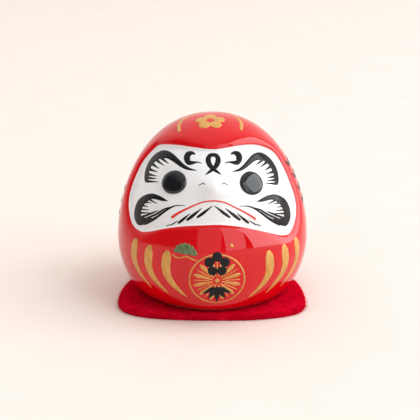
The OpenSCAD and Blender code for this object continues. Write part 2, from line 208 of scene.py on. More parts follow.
def soft_hill(points, hill):
    """Rise of one soft form at points of the map."""
    (u, z), (half_w, half_h), rise = hill
    middle = map_point(u, z, FACE_DEPTH)
    d = (points - middle) / (half_w, half_h)
    return rise * np.exp(-(d**2).sum(1))


def relief(points):
    """How far the surface stands out from the turned profile, at points of the map."""
    d = np.zeros(len(points))
    low = FACE_EDGE.min(0) - max(ROLL_WIDTHS)
    high = FACE_EDGE.max(0) + max(ROLL_WIDTHS)
    near = ((points > low) & (points < high)).all(1)
    inside = signed_distance(points[near], FACE_EDGE)
    across, above = (points[near] - FACE_MIDDLE).T
    turn = np.degrees(np.arctan2(np.abs(across), -above))
    width = np.interp(turn, ROLL_TURNS, ROLL_WIDTHS)
    steep = ROLL_STEEPNESS / width
    depth = FACE_DEPTH / (ROLL_DROP + steep * FILLET_W / 2)
    x = np.clip((inside / width + 1) * ROLL_X, 0, ROLL_X)
    roll = -depth * (1 - np.sqrt(1 - x**2))
    f = np.clip(inside, 0, FILLET_W)
    fillet = -depth * steep * (f - f**2 / (2 * FILLET_W))
    soft = np.clip(inside / SOFT_FROM_EDGE, 0, 1)
    soft = soft * soft * (3 - 2 * soft)
    hills = sum(soft_hill(points[near], hill) for hill in [NOSE, *CHEEKS])
    d[near] = roll + fillet + soft * hills
    return d


def surface(points, lift=0.0):
    """Places in the frame of points of the map, lifted off the surface."""
    turn = points[:, 0] / MAP_R
    s = points[:, 1]
    out = relief(points) + lift
    radius = along_profile(s, PROFILE_R) + out * along_profile(s, PROFILE_N[:, 0])
    height = along_profile(s, PROFILE_Z) + out * along_profile(s, PROFILE_N[:, 1]) + MAT_T
    return np.stack([radius * np.sin(turn), -radius * np.cos(turn), height], 1)


def surface_normals(points):
    """Outward normals of the surface at points of the map."""
    step = 0.05
    safe = points.copy()
    safe[:, 1] = np.minimum(safe[:, 1], CROWN_S - 2 * step)
    across = surface(safe + (step, 0)) - surface(safe - (step, 0))
    up = surface(safe + (0, step)) - surface(safe - (0, step))
    normal = np.cross(across, up)
    return normal / np.linalg.norm(normal, axis=1)[:, None]


# ---- Patches of the surface ----


# Map points closer than this are one corner of the triangles
MERGE = 1e-5
# Places on the doll are one when they agree to this many decimals
WELD_DECIMALS = 4


def triangulate(outlines, points):
    """Triangles over all outlines and points: the map points and the triangles' corners."""
    rows = [np.asarray(outline) for outline in outlines]
    edges, start = [], 0
    for row in rows:
        count = len(row)
        edges += [(start + i, start + (i + 1) % count) for i in range(count)]
        start += count
    every = np.vstack([*rows, points]) if len(points) else np.vstack(rows)
    flat = [Vector(p) for p in every.tolist()]
    found, _, faces, *_ = delaunay_2d_cdt(flat, edges, [], 0, MERGE, False)
    return np.array([tuple(p) for p in found]), np.array([f for f in faces if len(f) == 3])


def rim_of(triangles):
    """Edges that only one triangle has, in that triangle's direction."""
    edges = np.vstack([triangles[:, [0, 1]], triangles[:, [1, 2]], triangles[:, [2, 0]]])
    key = np.sort(edges, axis=1)
    _, index, count = np.unique(key, axis=0, return_index=True, return_counts=True)
    return edges[index[count == 1]]


def weld(points, triangles):
    """Joins map points that are one place on the doll, and drops triangles that this empties."""
    key = np.round(surface(points), WELD_DECIMALS)
    _, first, to = np.unique(key, axis=0, return_index=True, return_inverse=True)
    t = to.reshape(-1)[triangles]
    full = (t[:, 0] != t[:, 1]) & (t[:, 1] != t[:, 2]) & (t[:, 2] != t[:, 0])
    return points[first], t[full]


def outward_triangles(places, normals, triangles):
    """The triangles, each turned to face the way of its corners' normals."""
    a, b, c = (places[triangles[:, k]] for k in range(3))
    faces_out = (np.cross(b - a, c - a) * normals[triangles].sum(1)).sum(1) > 0
    return np.where(faces_out[:, None], triangles, triangles[:, ::-1])


def closed_coat(points, triangles, top_lift, low_lift):
    """A closed coat over map triangles: its places, its faces and its corners' normals."""
    normals = surface_normals(points)
    top = surface(points, top_lift)
    low = surface(points, low_lift)
    triangles = outward_triangles(top, normals, triangles)
    count = len(points)
    side = [(b, a, a + count, b + count) for a, b in rim_of(triangles).tolist()]
    faces = triangles.tolist() + (triangles[:, ::-1] + count).tolist() + side
    return np.vstack([top, low]), faces, np.vstack([normals, -normals])


def offset_rings(outline, offsets):
    """Points beside a closed outline, at each offset to its inside (positive) or outside."""
    step = np.roll(outline, -1, axis=0) - np.roll(outline, 1, axis=0)
    inward = np.stack([-step[:, 1], step[:, 0]], 1)
    inward /= np.linalg.norm(inward, axis=1)[:, None]
    if signed_distance(outline[:1] + 0.1 * inward[:1], outline)[0] < 0:
        inward = -inward
    rings = []
    for offset in offsets:
        ring = outline + offset * inward
        clear = signed_distance(ring, outline) * np.sign(offset) > abs(offset) * 0.9
        rings.append(ring[clear])
    return np.vstack(rings)


def grid(low, high, spacing):
    """Points of an even grid, edges included."""
    count = [max(2, round((high[k] - low[k]) / spacing) + 1) for k in (0, 1)]
    x, y = (np.linspace(low[k], high[k], count[k]) for k in (0, 1))
    return np.stack(np.meshgrid(x, y), -1)


def make_piece(name, places, faces, material, body, nodes, normals=None):
    """A mesh from places in millimetres, on a body, in place of CAD nodes."""
    mesh = bpy.data.meshes.new(name)
    mesh.from_pydata((np.asarray(places) * MM).tolist(), [], faces)
    mesh.polygons.foreach_set("use_smooth", [True] * len(mesh.polygons))
    mesh.materials.append(material)
    mesh.update()
    if normals is not None:
        mesh.normals_split_custom_set_from_vertices(np.asarray(normals).tolist())
    piece = bpy.data.objects.new(name, mesh)
    bpy.context.scene.collection.objects.link(piece)
    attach(piece, body)
    if nodes:
        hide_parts(*nodes)
    return piece


# ---- Materials ----


def new_material(name, colour, roughness, **inputs):
    """A material with one shader, its even values set on the shader itself."""
    mat = bpy.data.materials.new(name)
    mat.use_nodes = True
    shader = mat.node_tree.nodes["Principled BSDF"]
    shader.inputs["Base Color"].default_value = (*colour, 1)
    shader.inputs["Roughness"].default_value = roughness
    for key, value in inputs.items():
        shader.inputs[key.replace("_", " ").title().replace("Ior", "IOR")].default_value = value
    return mat, mat.node_tree, shader


def object_noise(tree, scale, detail=4.0, roughness=0.5, stretch=(1, 1, 1)):
    """Noise fixed to the object: scale is in lumps per metre."""
    place = tree.nodes.new("ShaderNodeTexCoord")
    shape = tree.nodes.new("ShaderNodeMapping")
    shape.inputs["Scale"].default_value = stretch
    noise = tree.nodes.new("ShaderNodeTexNoise")
    noise.inputs["Scale"].default_value = scale
    noise.inputs["Detail"].default_value = detail
    noise.inputs["Roughness"].default_value = roughness
    tree.links.new(place.outputs["Object"], shape.inputs["Vector"])
    tree.links.new(shape.outputs["Vector"], noise.inputs["Vector"])
    return noise.outputs["Fac"]


def colour_ramp(tree, factor, stops):
    """Colours along a factor: stops are (position, colour)."""
    ramp = tree.nodes.new("ShaderNodeValToRGB")
    points = ramp.color_ramp.elements
    while len(points) < len(stops):
        points.new(0.5)
    for point, (position, colour) in zip(points, stops):
        point.position = position
        point.color = (*colour, 1)
    tree.links.new(factor, ramp.inputs["Fac"])
    return ramp.outputs["Color"]


def bump(tree, shader, height, distance, strength=1.0):
    """Fine relief that follows a factor, up to a distance in millimetres."""
    node = tree.nodes.new("ShaderNodeBump")
    node.inputs["Distance"].default_value = distance * MM
    node.inputs["Strength"].default_value = strength
    tree.links.new(height, node.inputs["Height"])
    tree.links.new(node.outputs["Normal"], shader.inputs["Normal"])


def roughness_from(tree, shader, factor, low, high):
    """Roughness that follows a factor, from low to high."""
    span = tree.nodes.new("ShaderNodeMapRange")
    span.inputs["To Min"].default_value = low
    span.inputs["To Max"].default_value = high
    tree.links.new(factor, span.inputs["Value"])
    tree.links.new(span.outputs["Result"], shader.inputs["Roughness"])


def glaze_material(name, thin, thick, roughness=0.04, ior=1.52):
    """Fired glaze: glossy, a little wavy, and deeper in colour where it lies thick."""
    mat, tree, shader = new_material(name, thin, roughness, ior=ior)
    pool = object_noise(tree, 60, 3)
    shade = colour_ramp(tree, pool, [(0.35, thick), (0.65, thin)])
    tree.links.new(shade, shader.inputs["Base Color"])
    bump(tree, shader, object_noise(tree, 220, 2, 0.4), 0.06, 0.35)
    return mat


def enamel_material(name, light, dark, roughness, metallic=0.0, specular=0.5):
    """Brushed enamel, streaked as the brush leaves it."""
    mat, tree, shader = new_material(name, light, roughness, ior=1.5, metallic=metallic,
                                     specular_ior_level=specular)
    streak = object_noise(tree, 900, 5, 0.6, (1, 1, 0.35))
    shade = colour_ramp(tree, streak, [(0.32, dark), (0.62, light)])
    tree.links.new(shade, shader.inputs["Base Color"])
    roughness_from(tree, shader, streak, roughness * 0.8, roughness * 1.4)
    bump(tree, shader, streak, 0.03, 0.4)
    return mat


def average(tree, one, other):
    """Half of one factor and half of another."""
    half = tree.nodes.new("ShaderNodeMath")
    half.operation = "MULTIPLY"
    half.inputs[1].default_value = 0.5
    both = tree.nodes.new("ShaderNodeMath")
    both.operation = "MULTIPLY_ADD"
    both.inputs[1].default_value = 0.5
    tree.links.new(one, half.inputs[0])
    tree.links.new(other, both.inputs[0])
    tree.links.new(half.outputs[0], both.inputs[2])
    return both.outputs[0]


def clay_material():
    """Bare fired clay, matt and finely speckled."""
    mat, tree, shader = new_material("bisque_clay", (0.80, 0.76, 0.69), 0.85)
    speck = object_noise(tree, 1500, 6, 0.65)
    shade = colour_ramp(tree, speck, [(0.3, (0.60, 0.54, 0.45)), (0.55, (0.82, 0.78, 0.71))])
    tree.links.new(shade, shader.inputs["Base Color"])
    bump(tree, shader, speck, 0.1, 0.5)
    return mat


def felt_material():
    """Pressed felt: cloudy dye and fine streaks of fibre, with a little sheen."""
    mat, tree, shader = new_material("red_felt", (0.60, 0.001, 0.02), 1.0, specular_ior_level=0.0,
                                     sheen_weight=0.12, sheen_roughness=0.6)
    shader.inputs["Sheen Tint"].default_value = (0.9, 0.02, 0.08, 1)
    cloud = object_noise(tree, 260, 8, 0.75)
    fibre = object_noise(tree, 1800, 6, 0.7, (1, 2.2, 1))
    shade = colour_ramp(tree, average(tree, cloud, fibre), [
        (0.34, (0.34, 0.0, 0.006)), (0.5, (0.64, 0.001, 0.018)), (0.64, (0.95, 0.005, 0.042)),
    ])
    tree.links.new(shade, shader.inputs["Base Color"])
    bump(tree, shader, fibre, 0.4)
    return mat


RED_GLAZE = glaze_material("red_glaze", (0.71, 0.002, 0.006), (0.63, 0.001, 0.004), ior=1.46)
WHITE_GLAZE = glaze_material("white_glaze", (0.88, 0.885, 0.90), (0.87, 0.855, 0.845))
EYE_GLAZE = glaze_material("eye_glaze", (0.010, 0.010, 0.012), (0.006, 0.006, 0.008), 0.06)
BLACK = enamel_material("black_enamel", (0.011, 0.011, 0.012), (0.005, 0.005, 0.006), 0.13,
                        specular=0.2)
RED_LINE = enamel_material("red_enamel", (0.78, 0.035, 0.02), (0.70, 0.02, 0.012), 0.2)
GOLD = enamel_material("gold_enamel", (0.72, 0.38, 0.09), (0.55, 0.26, 0.05), 0.32, metallic=0.25)
GREEN = enamel_material("green_enamel", (0.15, 0.22, 0.09), (0.08, 0.13, 0.05), 0.25)
CLAY = clay_material()
FELT = felt_material()


# ---- Clay body and glazes ----

# The red glaze ends this far above the foot, and the clay is bare below
GLAZE_LINE_Z = 0.4
# Spacing of each glaze's mesh, and of the finer rings of points beside their border
WHITE_SPACING = 0.8
RED_SPACING = 1.0
RING_OFFSETS = (0.15, 0.35, 0.6, 0.9, 1.3, 1.8, 2.4, 3.1)


def white_face():
    """The white glaze of the face panel, inside the panel's outline."""
    rings = offset_rings(FACE_EDGE, RING_OFFSETS)
    spots = grid(FACE_EDGE.min(0), FACE_EDGE.max(0), WHITE_SPACING).reshape(-1, 2)
    spots = spots[signed_distance(spots, FACE_EDGE) > RING_OFFSETS[-1] + WHITE_SPACING / 2]
    points, triangles = triangulate([FACE_EDGE], np.vstack([rings, spots]))
    inside = signed_distance(points[triangles].mean(1), FACE_EDGE) > 0
    places, faces, normals = closed_coat(points, triangles[inside], 0.0, -GLAZE_T)
    return make_piece("white_face_glaze", places, faces, WHITE_GLAZE, "doll",
                      ["white_face"], normals)


def red_glaze():
    """The red glaze: the whole of the turned form but the foot and the face panel."""
    low = (-math.pi * MAP_R, np.interp(GLAZE_LINE_Z, PROFILE_Z, PROFILE_S))
    high = (math.pi * MAP_R, CROWN_S)
    sheet = grid(low, high, RED_SPACING)
    frame_line = np.vstack([sheet[0, :-1], sheet[:-1, -1], sheet[-1, :0:-1], sheet[:0:-1, 0]])
    inner = sheet[1:-1, 1:-1].reshape(-1, 2)
    inner = inner[signed_distance(inner, FACE_EDGE) < -RING_OFFSETS[-1] - RED_SPACING / 2]
    rings = offset_rings(FACE_EDGE, [-offset for offset in RING_OFFSETS])
    points, triangles = triangulate([frame_line, FACE_EDGE], np.vstack([inner, rings]))
    outside = signed_distance(points[triangles].mean(1), FACE_EDGE) < 0
    points, triangles = weld(points, triangles[outside])
    places, faces, normals = closed_coat(points, triangles, 0.0, -GLAZE_T)
    return make_piece("red_glaze_coat", places, faces, RED_GLAZE, "doll",
                      ["red_glaze"], normals)


VENT_R = 4.5
FOOT_ROUND = 0.5
INNER_FLOOR_Z = 4.0
# Above the foot the clay is out of sight: a plain shell that clears the panel and the glaze
SHELL_IN = FACE_DEPTH + 2 * GLAZE_T
SHELL_T = 2.0
SHELL_NEAREST_R = 0.3
TURNS = 144


def turned(profile):
    """Places and faces of a closed profile turned round the axis."""
    angle = np.linspace(0, 2 * math.pi, TURNS, endpoint=False)
    r, z = np.array(profile).T
    places = np.stack([np.outer(np.cos(angle), r), np.outer(np.sin(angle), r),
                       np.tile(z, (TURNS, 1))], 2).reshape(-1, 3)
    n = len(r)
    faces = []
    for i in range(TURNS):
        j = (i + 1) % TURNS
        for k in range(n):
            m = (k + 1) % n
            faces.append((i * n + k, j * n + k, j * n + m, i * n + m))
    return places, faces


def clay_body():
    """The hollow casting: bare at the foot and the vent, and a plain shell out of sight above."""
    def inside_of(inset):
        """Profile moved inward, from the inner floor up to just beside the axis."""
        r = PROFILE_R - inset * PROFILE_N[:, 0]
        z = PROFILE_Z - inset * PROFILE_N[:, 1]
        keep = (z > INNER_FLOOR_Z) & (r > SHELL_NEAREST_R)
        return list(zip(r[keep][::40], z[keep][::40]))

    at_line = PROFILE_Z < GLAZE_LINE_Z + 0.2
    skirt = list(zip(PROFILE_R[at_line][::12], PROFILE_Z[at_line][::12]))
    hidden = inside_of(SHELL_IN)
    cavity = inside_of(SHELL_IN + SHELL_T)[::-1]
    vent = [(VENT_R, INNER_FLOOR_Z), (VENT_R, FOOT_ROUND), (VENT_R + 0.15, 0.15),
            (VENT_R + FOOT_ROUND, 0)]
    profile = [(r, z + MAT_T) for r, z in [*skirt, *hidden, *cavity, *vent]]
    places, faces = turned(profile)
    return make_piece("clay_casting", places, faces, CLAY, "doll", ["clay_body"])


# ---- Eyes ----

EYE_H = 8.8
EYE_RISE = 1.0
# Angle round the axis, height and width of each eye
EYES = {"left": (-30.9, 46.2, 9.7), "right": (31.3, 45.9, 9.0)}
# The higher this is, the flatter is the middle of the eye and the steeper its edge
EYE_FLATNESS = 3
EYE_RINGS = 16
EYE_SPOKES = 72
# The drop's edge stands this far off the white glaze, and its underside is sunk into it
EYE_EDGE_LIFT = 0.01
EYE_SUNK = -0.15


def eye(side):
    """A domed drop of black glaze: steep at its edge and almost flat in the middle."""
    angle, z, width = EYES[side]
    middle = map_point(0.0, z, FACE_DEPTH, angle)
    local_r = along_profile(middle[1], PROFILE_R) - FACE_DEPTH
    rho = np.sin(np.linspace(0, math.pi / 2, EYE_RINGS + 1))[1:]
    turn = np.linspace(0, 2 * math.pi, EYE_SPOKES, endpoint=False)
    u = np.outer(rho, np.cos(turn)) * width / 2 * MAP_R / local_r
    v = np.outer(rho, np.sin(turn)) * EYE_H / 2
    points = np.vstack([[middle], middle + np.stack([u, v], 2).reshape(-1, 2)])
    reach = np.concatenate([[0], np.repeat(rho, EYE_SPOKES)])
    rise = EYE_RISE * np.sqrt(np.clip(1 - reach**EYE_FLATNESS, 0, 1))
    triangles = [(0, 1 + i, 1 + (i + 1) % EYE_SPOKES) for i in range(EYE_SPOKES)]
    for ring in range(EYE_RINGS - 1):
        for i in range(EYE_SPOKES):
            a = ring * EYE_SPOKES + i + 1
            b = ring * EYE_SPOKES + (i + 1) % EYE_SPOKES + 1
            triangles += [(a, a + EYE_SPOKES, b + EYE_SPOKES), (a, b + EYE_SPOKES, b)]
    places, faces, _ = closed_coat(points, np.array(triangles), rise + EYE_EDGE_LIFT, EYE_SUNK)
    return make_piece(f"{side}_eye_drop", places, faces, EYE_GLAZE, "doll",
                      [f"{side}_eye"])


# ---- Brushwork ----

SIDES = (("left", -1), ("right", 1))
ENAMEL_T = 0.12
# Height of a stroke's edge, and the depth of its underside in the glaze
EDGE_LIFT = 0.02
SUNK = -0.1
# Width of the rounding along a stroke's edge
EDGE_ROUND = 0.2
# Spacing of the mesh in a stroke, and how clear of the outlines its points stay
BRUSH_SPACING = 0.34
BRUSH_CLEAR = 0.4 * BRUSH_SPACING
# Strokes that end narrower than this end in a point
POINTED_W = 0.32
CAP_STEPS = 5


def cap(middle, side, ahead):
    """Points round a blunt end, from one side of a stroke to the other."""
    turn = np.linspace(0, math.pi, CAP_STEPS + 2)[1:-1, None]
    return middle + side * np.cos(turn) + ahead * np.sin(turn)


def stroke(points, steps=5, mirror=False):
    """Outline of a round-ended brush stroke through (across, up, width) points."""
    s = smooth_curve(points, steps)
    if mirror:
        s[:, 0] = -s[:, 0]
    along = np.gradient(s[:, :2], axis=0)
    along /= np.linalg.norm(along, axis=1)[:, None]
    ahead = along * s[:, 2:] / 2
    side = np.stack([ahead[:, 1], -ahead[:, 0]], 1)
    line = s[:, :2]
    parts = [line + side]
    if s[-1, 2] > POINTED_W:
        parts.append(cap(line[-1], side[-1], ahead[-1]))
    parts.append((line - side)[::-1])
    if s[0, 2] > POINTED_W:
        parts.append(cap(line[0], -side[0], -ahead[0]))
    return np.vstack(parts)


def hair(root, tip, root_w, tip_w, mirror=False):
    """Outline of a short stroke from its root to its tip."""
    return stroke([(*root, root_w), (*tip, tip_w)], 4, mirror)


def circle(middle, radius, count=40):
    turn = np.linspace(0, 2 * math.pi, count, endpoint=False)
    return np.stack([middle[0] + radius * np.cos(turn), middle[1] + radius * np.sin(turn)], 1)


def turn_about(outline, degrees, middle):
    """An outline turned about its own zero point, and that point moved to the middle."""
    a = math.radians(degrees)
    spin = np.array([[math.cos(a), math.sin(a)], [-math.sin(a), math.cos(a)]])
    return np.asarray(outline) @ spin + middle


def edge_distance(points, triangles):
    """Distance of each flat point to the rim of the triangles."""
    rim = rim_of(triangles)
    a, b = points[rim[:, 0]], points[rim[:, 1]]
    edge = b - a
    h = np.clip(((points[:, None] - a) * edge).sum(2) / (edge**2).sum(1), 0, 1)
    return np.linalg.norm(points[:, None] - a - h[..., None] * edge, axis=2).min(1)


def painted(name, nodes, outlines, to_map, material, slot, holes=(), thickness=ENAMEL_T):
    """A raised, round-edged coat of enamel over the union of flat outlines, less the holes."""
    def inside(points):
        deep = np.max([signed_distance(points, outline) for outline in outlines], axis=0)
        for hole in holes:
            deep = np.minimum(deep, -signed_distance(points, hole))
        return deep

    every = [*outlines, *holes]
    low = np.min([outline.min(0) for outline in outlines], axis=0)
    high = np.max([outline.max(0) for outline in outlines], axis=0)
    spots = grid(low, high, BRUSH_SPACING).reshape(-1, 2)
    spots = spots[inside(spots) > 0]
    clear = np.min([np.abs(signed_distance(spots, outline)) for outline in every], axis=0)
    spots = spots[clear > BRUSH_CLEAR]
    flat, triangles = triangulate(every, spots)
    triangles = triangles[inside(flat[triangles].mean(1)) > 0]
    used, triangles = np.unique(triangles, return_inverse=True)
    flat, triangles = flat[used], triangles.reshape(-1, 3)
    x = 1 - np.clip(edge_distance(flat, triangles) / EDGE_ROUND, 0, 1)
    lift = EDGE_LIFT + (thickness - EDGE_LIFT) * np.sqrt(1 - x**2)
    places, faces, _ = closed_coat(to_map(flat), triangles, lift, SUNK)
    return make_piece(name, places, faces, material, "doll", nodes)


def on_face(angle=0.0):
    """Map function for marks on the face panel, drawn from the front at an angle."""
    return lambda p: from_front(p[:, 0], p[:, 1], FACE_DEPTH, angle)


def on_robe(angle):
    """Map function for marks on the red glaze, drawn from the front at an angle."""
    return lambda p: from_front(p[:, 0], p[:, 1], 0.0, angle)


def on_crown(p):
    """Map function for marks on the crown, drawn from above."""
    return from_above(p[:, 0], p[:, 1])


# The face is painted a little to the right of the doll's middle
FACE_TURN = 0.8

# The right brow, curl and whisker are listed, as (across, up, width), and the left ones mirror them
BROW_ANGLE = 38
# The brows and whiskers are painted freehand, so the two sides differ: stretch across, and lift
BROW_SIDES = {"left": (1.07, 0.1), "right": (0.91, -0.3)}
BROW = [
    (9.5, 44.6, 2.4), (10.2, 45.6, 2.75), (10.8, 47.2, 3.05), (10.6, 49.1, 3.2), (9.4, 51.1, 2.9),
    (6.9, 52.8, 2.6), (3.8, 53.4, 2.1), (1, 53.05, 1.75), (-1.5, 52.25, 1.45), (-4, 51.3, 1.15),
    (-6.5, 50.6, 0.75), (-9.1, 50.35, 0.15),
]
BROW_HAIRS = [
    ((9, 43.9), (3, 45.1)), ((9.2, 45), (4.2, 45.8)), ((9.4, 46.1), (4.5, 46.6)),
    ((9.4, 47.6), (4.9, 47.9)), ((9, 49.4), (4.7, 48.95)), ((7.9, 51), (3.1, 50.25)),
    ((6, 52.1), (1.5, 51.15)),
]
# Width of the hairs at their roots and tips
BROW_HAIR_W = (1.0, 0.15)
CURL = [
    (6.4, 55.15, 0.6), (7.4, 55.3, 1), (8.6, 54.7, 1.8), (9, 53.6, 2.3), (8.5, 52.6, 1.6),
    (7.1, 52.6, 1), (5.7, 52.85, 0.45), (4.7, 52.8, 0.3), (4, 52.55, 0.15),
]
LOOP = [
    (0, 55.1, 1), (1.1, 54.8, 1.3), (1.7, 53.7, 1.85), (1.3, 52.4, 1.7), (0.3, 51.3, 1.3),
    (-0.8, 50.5, 1), (-1.7, 49.9, 0.7), (-2.7, 49.25, 0.2),
]
NOSTRIL = [(2.7, 46.1, 0.2), (3.4, 46.6, 0.3), (4.2, 46.3, 0.28), (5.1, 45.9, 0.15)]
MOUTH = [
    (-13.6, 35.1, 0.85), (-12, 36.4, 0.8), (-10, 37.7, 0.7), (-8, 38.8, 0.6), (-6, 39.8, 0.5),
    (-4, 40.6, 0.45), (-2, 41.1, 0.45), (0, 41.25, 0.45), (2, 41.15, 0.45), (4, 40.75, 0.45),
    (6, 39.9, 0.5), (8, 38.8, 0.5), (10, 37.7, 0.55), (12, 36.4, 0.6), (13.5, 35.3, 0.65),
    (14.6, 34.4, 0.7),
]
WHISKER_ANGLE = 38
WHISKER_SIDES = {"left": (1, 0.2), "right": (1, 0)}
WHISKER = [
    (-3.2, 39.8, 0.15), (-1, 40, 1.1), (1.5, 40.2, 1.5), (4, 40.05, 1.8), (6.2, 39.2, 2.4),
    (8.2, 37.9, 3), (9.9, 36.2, 3.8), (10.8, 34.2, 4.4), (10.6, 32.2, 4.9), (9.2, 30.9, 4),
    (7, 31, 2.8), (5, 31.6, 1.9), (3, 32.6, 1.1),
]
WHISKER_HAIRS = [
    ((4.8, 38.7), (1, 38.3)), ((8, 37.2), (3.8, 37.9)), ((8.6, 35.9), (5, 36.4)),
    ((8.9, 34.6), (4.2, 35.4)), ((8.6, 33.4), (3.3, 34.7)),
]
WHISKER_HAIR_W = (0.7, 0.2)
WHISKER_TAILS = [
    [(7.5, 32.3, 0.9), (4, 34, 0.75), (1.5, 35.3, 0.55), (-0.4, 36.2, 0.2)],
    [(6.5, 31.4, 1.1), (3, 33.4, 0.8), (0, 35.1, 0.75), (-2.4, 36.9, 0.6), (-4.6, 38.1, 0.2)],
    [(5.5, 30.6, 1.4), (2.5, 32.3, 1.2), (0, 33.9, 0.9), (-2.5, 36, 0.75), (-5, 38, 0.6),
     (-7, 38.9, 0.35), (-9.7, 39.2, 0.15)],
]
# Top, foot and width of each stroke of the beard
BEARD = [
    ((0.3, 39.75), (5.4, 36), 0.95), ((4, 38.9), (8.9, 34.9), 1), ((8.1, 36.9), (11.9, 33.5), 0.85),
    ((12.1, 34.2), (14.6, 32.4), 0.4), ((14.6, 32.6), (16.2, 31.8), 0.34),
]


def black(name, node, outlines, to_map):
    """A mark in black enamel."""
    return painted(name, [node], outlines, to_map, BLACK, "black_enamel")


def beard_stroke(top, foot, width, mirror):
    """Outline of a beard stroke, thin at the top and broadest a little above the foot."""
    middle = (0.4 * top[0] + 0.6 * foot[0], 0.4 * top[1] + 0.6 * foot[1], width)
    return stroke([(*top, 0.2), middle, (*foot, 0.8 * width)], 5, mirror)


def freehand(points, stretch, lift):
    """Stroke points, stretched across and lifted."""
    return [(u * stretch, z + lift, *width) for u, z, *width in points]


def tuft(main, hairs, tails, stretch, lift, hair_w, mirror):
    """A brow or a whisker: one broad stroke with the hairs and tails drawn out of it."""
    outlines = [stroke(freehand(line, stretch, lift), 5, mirror) for line in [main, *tails]]
    for ends in hairs:
        outlines.append(hair(*freehand(ends, stretch, lift), *hair_w, mirror=mirror))
    return outlines


def paint_face():
    middle = on_face(FACE_TURN)
    for side, sign in SIDES:
        mirror = sign < 0
        brow = tuft(BROW, BROW_HAIRS, [], *BROW_SIDES[side], BROW_HAIR_W, mirror)
        black(f"{side}_brow_stroke", f"{side}_brow", brow, on_face(sign * BROW_ANGLE))
        whisker = tuft(WHISKER, WHISKER_HAIRS, WHISKER_TAILS, *WHISKER_SIDES[side],
                       WHISKER_HAIR_W, mirror)
        black(f"{side}_whisker_stroke", f"{side}_cheek_whisker", whisker,
              on_face(sign * WHISKER_ANGLE))
        black(f"{side}_curl_stroke", f"{side}_forehead_curl", [stroke(CURL, mirror=mirror)], middle)
        black(f"{side}_beard_brushing", f"{side}_beard_strokes",
              [beard_stroke(*b, mirror) for b in BEARD], middle)
    black("forehead_loop_stroke", "forehead_loop", [stroke(LOOP), stroke(LOOP, mirror=True)], middle)
    black("nostril_strokes", "nostril_marks", [stroke(NOSTRIL), stroke(NOSTRIL, mirror=True)], middle)
    painted("mouth_stroke", ["mouth_line"], [stroke(MOUTH)], on_face(), RED_LINE, "red_enamel")


# The robe's folds are laid out about a line a little to the right of the doll's middle
ROBE_TURN = 3.9
FOLD_ANGLES = (56, 43.5, 31)
FOLD_WIDTHS = (3.4, 3.7, 3.6)
FOLD_TOPS = (24.9, 24.3, 23.9)
FOLD_LIFT = {"left": 0.45, "right": -0.45}
# The right fold: across, up from its top, and part of its full width
FOLD = [
    (-0.35, -1.1, 0.64), (-0.2, -2.2, 0.93), (0.05, -4.5, 1), (0.1, -7, 0.95), (-0.3, -9.2, 0.86),
    (-1.4, -11.5, 0.7), (-3, -13.6, 0.52), (-4.8, -15.6, 0.32), (-6.4, -17.3, 0.08),
]

ROUNDEL_ANGLE = 2.8
ROUNDEL_Z = 14.6
ROUNDEL_R = 9.75
ROUNDEL_T = 0.07
RING_W = 0.5
LOZENGE_R = 1.06
PETALS = 12
# A petal out from the middle, in parts of the roundel's radius and of the petal's width
PETAL = [(0, 0.18, 0.25), (0, 0.45, 0.6), (0, 0.7, 1), (0, 0.82, 0.5)]
PETAL_W = 1.5
RAY_W = 0.35
# The ink blossom and the fan of bamboo leaves, above and below the roundel's middle
BLOSSOM_DZ = 6
BLOSSOM_SIZE = 4.6
LEAVES_DZ = -2.6
LEAF_ANGLES = (-118, -150, 180, 150, 118)
LEAF_LENGTHS = (6.2, 6, 6.6, 6, 6.2)
LEAF_W = 1.9

PINE_ANGLE = -15
# Tips of the needle tufts, which spread from the pine's foot
PINE_FOOT = (-0.2, 24)
NEEDLES = [
    (-3.9, 24.8), (-3.2, 26), (-2, 26.8), (-0.6, 27.1), (0.8, 26.9), (2, 26.2), (2.9, 25.2), (3.3, 24.2),
]
TWIG = [(-5.2, 23.4, 0.3), (-4, 22.6, 0.6), (-2.4, 22.3, 0.4), (-0.9, 22.8, 0.5), (0.7, 23, 0.4),
        (2.2, 22.3, 0.5), (3.9, 21.9, 0.25)]
FLECK = [(4.6, 27.7, 0.3), (5, 27.1, 1), (5.6, 26.4, 0.3)]

# The crown's marks as seen from above. Each point of an arc is its angle and its width
CROWN_MIDDLE = (-0.8, -6.8)
CROWN_ARC_R = 11.2
CROWN_ARC = [(-14, 1), (10, 1.3), (35, 0.8), (58, 0.5), (78, 0.25)]
CROWN_BLOSSOM = 5.5

# The leaves down the sides: where each pair grows from, its length and width, and its lean
SIDE_ANGLES = {"left": -91, "right": 84}
SIDE_LEAVES = {"left": (27, 31.5, 36), "right": (33, 37.5, 42, 46.5)}
SIDE_LEAF = (4.2, 1.5)
SIDE_LEAN = 50


def blossom(size, middle):
    """Outlines of the five round petals of a plum blossom."""
    petal = circle((0, 0.6 * size), 0.38 * size)
    return [turn_about(petal, 72 * i, middle) for i in range(5)]


def leaf(length, width, degrees, middle):
    """Outline of a pointed leaf that grows from the middle."""
    shape = stroke([(0, 0, 0.15 * width), (0, 0.35 * length, width), (0, 0.7 * length, 0.7 * width),
                    (0, length, 0.1)])
    return turn_about(shape, degrees, middle)


def gold(name, node, outlines, to_map, **options):
    """A mark in gold enamel."""
    return painted(name, [node], outlines, to_map, GOLD, "gold_enamel", **options)


def paint_folds():
    for side, sign in SIDES:
        for i, (angle, width, top) in enumerate(zip(FOLD_ANGLES, FOLD_WIDTHS, FOLD_TOPS)):
            line = [(u, z + top + FOLD_LIFT[side], w * width) for u, z, w in FOLD]
            gold(f"{side}_fold_stroke_{i + 1}", f"{side}_robe_fold_{i + 1}",
                 [stroke(line, mirror=sign < 0)], on_robe(ROBE_TURN + sign * angle))


